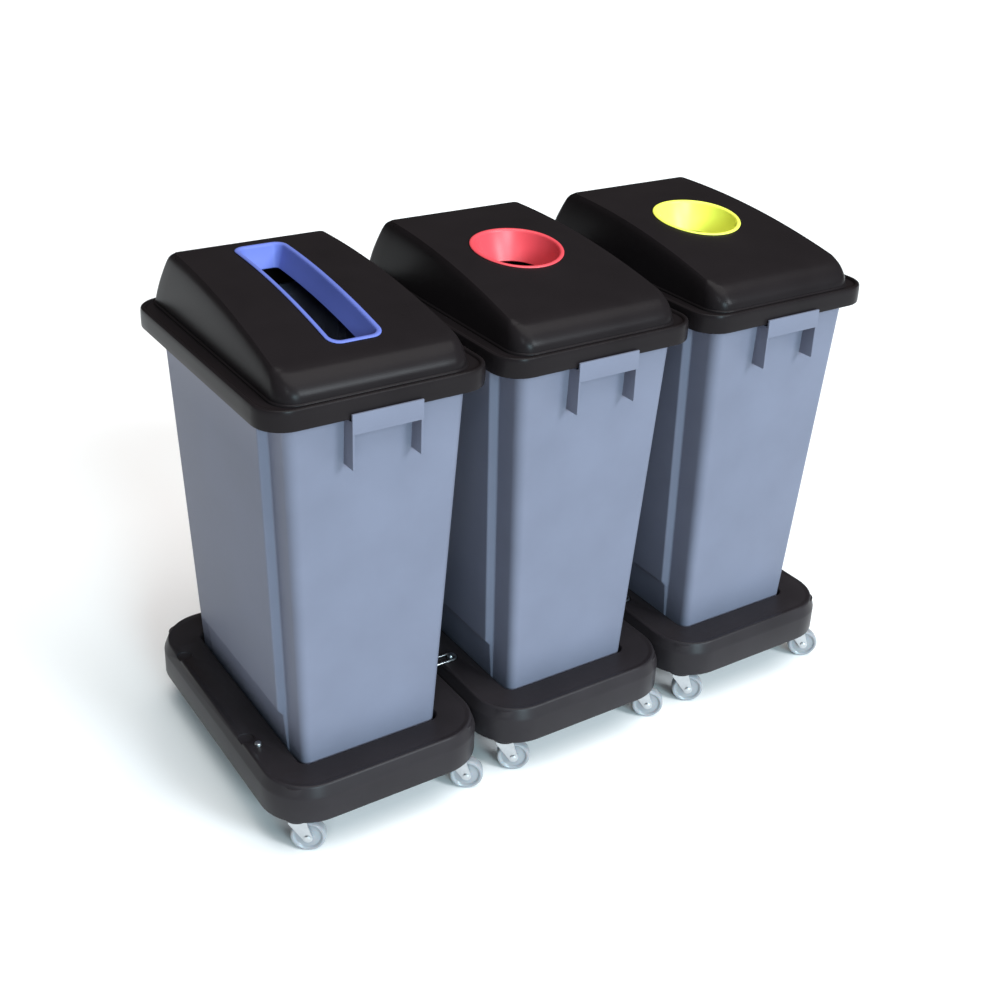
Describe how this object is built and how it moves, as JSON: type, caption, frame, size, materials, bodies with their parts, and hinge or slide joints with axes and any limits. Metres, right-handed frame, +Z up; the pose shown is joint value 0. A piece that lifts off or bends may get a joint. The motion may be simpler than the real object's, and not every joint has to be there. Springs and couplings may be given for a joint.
{
  "type": "recycling bin station",
  "caption": "Row of tapered lidded waste bins on linked wheeled dollies, with a slot opening and round openings in coloured inserts.",
  "frame": {"origin": "on the floor, under the centre of the middle bin", "axes": "+X along the row towards the yellow insert, +Y towards the back of the bins, +Z up"},
  "size_m": [1.002, 0.483, 0.7394],
  "materials": {
    "bin_grey": "satin moulded polypropylene",
    "lid_black": "satin moulded polypropylene",
    "insert_blue": "satin",
    "insert_red": "satin",
    "insert_yellow": "satin",
    "dolly_black": "fine grained",
    "zinc": "zinc plated",
    "nylon": "semi-translucent grey"
  },
  "bodies": {
    "base": {"dolly_left": "dolly_black", "dolly_middle": "dolly_black", "dolly_right": "dolly_black"},
    "bin_left": {"bin_left_body": "bin_grey"},
    "lid_left": {"bin_left_lid": "lid_black", "bin_left_insert": "insert_blue"},
    "caster_left_front_left_swivel": {"caster_left_front_left_fork": "zinc", "caster_left_front_left_axle": "zinc"},
    "caster_left_front_left_roller": {"caster_left_front_left_wheel": "nylon"},
    "caster_left_front_right_swivel": {"caster_left_front_right_fork": "zinc", "caster_left_front_right_axle": "zinc"},
    "caster_left_front_right_roller": {"caster_left_front_right_wheel": "nylon"},
    "caster_left_back_left_swivel": {"caster_left_back_left_fork": "zinc", "caster_left_back_left_axle": "zinc"},
    "caster_left_back_left_roller": {"caster_left_back_left_wheel": "nylon"},
    "caster_left_back_right_swivel": {"caster_left_back_right_fork": "zinc", "caster_left_back_right_axle": "zinc"},
    "caster_left_back_right_roller": {"caster_left_back_right_wheel": "nylon"},
    "bin_middle": {"bin_middle_body": "bin_grey"},
    "lid_middle": {"bin_middle_lid": "lid_black", "bin_middle_insert": "insert_red"},
    "caster_middle_front_left_swivel": {"caster_middle_front_left_fork": "zinc", "caster_middle_front_left_axle": "zinc"},
    "caster_middle_front_left_roller": {"caster_middle_front_left_wheel": "nylon"},
    "caster_middle_front_right_swivel": {"caster_middle_front_right_fork": "zinc", "caster_middle_front_right_axle": "zinc"},
    "caster_middle_front_right_roller": {"caster_middle_front_right_wheel": "nylon"},
    "caster_middle_back_left_swivel": {"caster_middle_back_left_fork": "zinc", "caster_middle_back_left_axle": "zinc"},
    "caster_middle_back_left_roller": {"caster_middle_back_left_wheel": "nylon"},
    "caster_middle_back_right_swivel": {"caster_middle_back_right_fork": "zinc", "caster_middle_back_right_axle": "zinc"},
    "caster_middle_back_right_roller": {"caster_middle_back_right_wheel": "nylon"},
    "bin_right": {"bin_right_body": "bin_grey"},
    "lid_right": {"bin_right_lid": "lid_black", "bin_right_insert": "insert_yellow"},
    "caster_right_front_left_swivel": {"caster_right_front_left_fork": "zinc", "caster_right_front_left_axle": "zinc"},
    "caster_right_front_left_roller": {"caster_right_front_left_wheel": "nylon"},
    "caster_right_front_right_swivel": {"caster_right_front_right_fork": "zinc", "caster_right_front_right_axle": "zinc"},
    "caster_right_front_right_roller": {"caster_right_front_right_wheel": "nylon"},
    "caster_right_back_left_swivel": {"caster_right_back_left_fork": "zinc", "caster_right_back_left_axle": "zinc"},
    "caster_right_back_left_roller": {"caster_right_back_left_wheel": "nylon"},
    "caster_right_back_right_swivel": {"caster_right_back_right_fork": "zinc", "caster_right_back_right_axle": "zinc"},
    "caster_right_back_right_roller": {"caster_right_back_right_wheel": "nylon"},
    "link_left_front_body": {"link_left_front": "zinc"},
    "link_left_back_body": {"link_left_back": "zinc"},
    "link_right_front_body": {"link_right_front": "zinc"},
    "link_right_back_body": {"link_right_back": "zinc"}
  },
  "joints": [
    {"name": "bin_left_lift", "type": "slide", "parent": "base", "child": "bin_left", "axis": [0, 0, 1], "range_m": [0, 0.12]},
    {"name": "lid_left_lift", "type": "slide", "parent": "bin_left", "child": "lid_left", "axis": [0, 0, 1], "range_m": [0, 0.15]},
    {"name": "caster_left_front_left_swivel_turn", "type": "hinge", "parent": "base", "child": "caster_left_front_left_swivel", "pos_m": [-0.463, -0.205, 0.06], "axis": [0, 0, 1], "continuous": true},
    {"name": "caster_left_front_left_wheel_spin", "type": "hinge", "parent": "caster_left_front_left_swivel", "child": "caster_left_front_left_roller", "pos_m": [-0.45126, -0.21263, 0.02437], "axis": [-0.5446, -0.8387, 0], "continuous": true},
    {"name": "caster_left_front_right_swivel_turn", "type": "hinge", "parent": "base", "child": "caster_left_front_right_swivel", "pos_m": [-0.209, -0.205, 0.06], "axis": [0, 0, 1], "continuous": true},
    {"name": "caster_left_front_right_wheel_spin", "type": "hinge", "parent": "caster_left_front_right_swivel", "child": "caster_left_front_right_roller", "pos_m": [-0.19726, -0.21263, 0.02437], "axis": [-0.5446, -0.8387, 0], "continuous": true},
    {"name": "caster_left_back_left_swivel_turn", "type": "hinge", "parent": "base", "child": "caster_left_back_left_swivel", "pos_m": [-0.463, 0.205, 0.06], "axis": [0, 0, 1], "continuous": true},
    {"name": "caster_left_back_left_wheel_spin", "type": "hinge", "parent": "caster_left_back_left_swivel", "child": "caster_left_back_left_roller", "pos_m": [-0.45126, 0.19737, 0.02437], "axis": [-0.5446, -0.8387, 0], "continuous": true},
    {"name": "caster_left_back_right_swivel_turn", "type": "hinge", "parent": "base", "child": "caster_left_back_right_swivel", "pos_m": [-0.209, 0.205, 0.06], "axis": [0, 0, 1], "continuous": true},
    {"name": "caster_left_back_right_wheel_spin", "type": "hinge", "parent": "caster_left_back_right_swivel", "child": "caster_left_back_right_roller", "pos_m": [-0.19726, 0.19737, 0.02437], "axis": [-0.5446, -0.8387, 0], "continuous": true},
    {"name": "bin_middle_lift", "type": "slide", "parent": "base", "child": "bin_middle", "axis": [0, 0, 1], "range_m": [0, 0.12]},
    {"name": "lid_middle_lift", "type": "slide", "parent": "bin_middle", "child": "lid_middle", "axis": [0, 0, 1], "range_m": [0, 0.15]},
    {"name": "caster_middle_front_left_swivel_turn", "type": "hinge", "parent": "base", "child": "caster_middle_front_left_swivel", "pos_m": [-0.127, -0.205, 0.06], "axis": [0, 0, 1], "continuous": true},
    {"name": "caster_middle_front_left_wheel_spin", "type": "hinge", "parent": "caster_middle_front_left_swivel", "child": "caster_middle_front_left_roller", "pos_m": [-0.11526, -0.21263, 0.02437], "axis": [-0.5446, -0.8387, 0], "continuous": true},
    {"name": "caster_middle_front_right_swivel_turn", "type": "hinge", "parent": "base", "child": "caster_middle_front_right_swivel", "pos_m": [0.127, -0.205, 0.06], "axis": [0, 0, 1], "continuous": true},
    {"name": "caster_middle_front_right_wheel_spin", "type": "hinge", "parent": "caster_middle_front_right_swivel", "child": "caster_middle_front_right_roller", "pos_m": [0.13874, -0.21263, 0.02437], "axis": [-0.5446, -0.8387, 0], "continuous": true},
    {"name": "caster_middle_back_left_swivel_turn", "type": "hinge", "parent": "base", "child": "caster_middle_back_left_swivel", "pos_m": [-0.127, 0.205, 0.06], "axis": [0, 0, 1], "continuous": true},
    {"name": "caster_middle_back_left_wheel_spin", "type": "hinge", "parent": "caster_middle_back_left_swivel", "child": "caster_middle_back_left_roller", "pos_m": [-0.11526, 0.19737, 0.02437], "axis": [-0.5446, -0.8387, 0], "continuous": true},
    {"name": "caster_middle_back_right_swivel_turn", "type": "hinge", "parent": "base", "child": "caster_middle_back_right_swivel", "pos_m": [0.127, 0.205, 0.06], "axis": [0, 0, 1], "continuous": true},
    {"name": "caster_middle_back_right_wheel_spin", "type": "hinge", "parent": "caster_middle_back_right_swivel", "child": "caster_middle_back_right_roller", "pos_m": [0.13874, 0.19737, 0.02437], "axis": [-0.5446, -0.8387, 0], "continuous": true},
    {"name": "bin_right_lift", "type": "slide", "parent": "base", "child": "bin_right", "axis": [0, 0, 1], "range_m": [0, 0.12]},
    {"name": "lid_right_lift", "type": "slide", "parent": "bin_right", "child": "lid_right", "axis": [0, 0, 1], "range_m": [0, 0.15]},
    {"name": "caster_right_front_left_swivel_turn", "type": "hinge", "parent": "base", "child": "caster_right_front_left_swivel", "pos_m": [0.209, -0.205, 0.06], "axis": [0, 0, 1], "continuous": true},
    {"name": "caster_right_front_left_wheel_spin", "type": "hinge", "parent": "caster_right_front_left_swivel", "child": "caster_right_front_left_roller", "pos_m": [0.22074, -0.21263, 0.02437], "axis": [-0.5446, -0.8387, 0], "continuous": true},
    {"name": "caster_right_front_right_swivel_turn", "type": "hinge", "parent": "base", "child": "caster_right_front_right_swivel", "pos_m": [0.463, -0.205, 0.06], "axis": [0, 0, 1], "continuous": true},
    {"name": "caster_right_front_right_wheel_spin", "type": "hinge", "parent": "caster_right_front_right_swivel", "child": "caster_right_front_right_roller", "pos_m": [0.47474, -0.21263, 0.02437], "axis": [-0.5446, -0.8387, 0], "continuous": true},
    {"name": "caster_right_back_left_swivel_turn", "type": "hinge", "parent": "base", "child": "caster_right_back_left_swivel", "pos_m": [0.209, 0.205, 0.06], "axis": [0, 0, 1], "continuous": true},
    {"name": "caster_right_back_left_wheel_spin", "type": "hinge", "parent": "caster_right_back_left_swivel", "child": "caster_right_back_left_roller", "pos_m": [0.22074, 0.19737, 0.02437], "axis": [-0.5446, -0.8387, 0], "continuous": true},
    {"name": "caster_right_back_right_swivel_turn", "type": "hinge", "parent": "base", "child": "caster_right_back_right_swivel", "pos_m": [0.463, 0.205, 0.06], "axis": [0, 0, 1], "continuous": true},
    {"name": "caster_right_back_right_wheel_spin", "type": "hinge", "parent": "caster_right_back_right_swivel", "child": "caster_right_back_right_roller", "pos_m": [0.47474, 0.19737, 0.02437], "axis": [-0.5446, -0.8387, 0], "continuous": true},
    {"name": "link_left_front_lift", "type": "slide", "parent": "base", "child": "link_left_front_body", "axis": [0, 0, 1], "range_m": [0, 0.03]},
    {"name": "link_left_back_lift", "type": "slide", "parent": "base", "child": "link_left_back_body", "axis": [0, 0, 1], "range_m": [0, 0.03]},
    {"name": "link_right_front_lift", "type": "slide", "parent": "base", "child": "link_right_front_body", "axis": [0, 0, 1], "range_m": [0, 0.03]},
    {"name": "link_right_back_lift", "type": "slide", "parent": "base", "child": "link_right_back_body", "axis": [0, 0, 1], "range_m": [0, 0.03]}
  ]
}
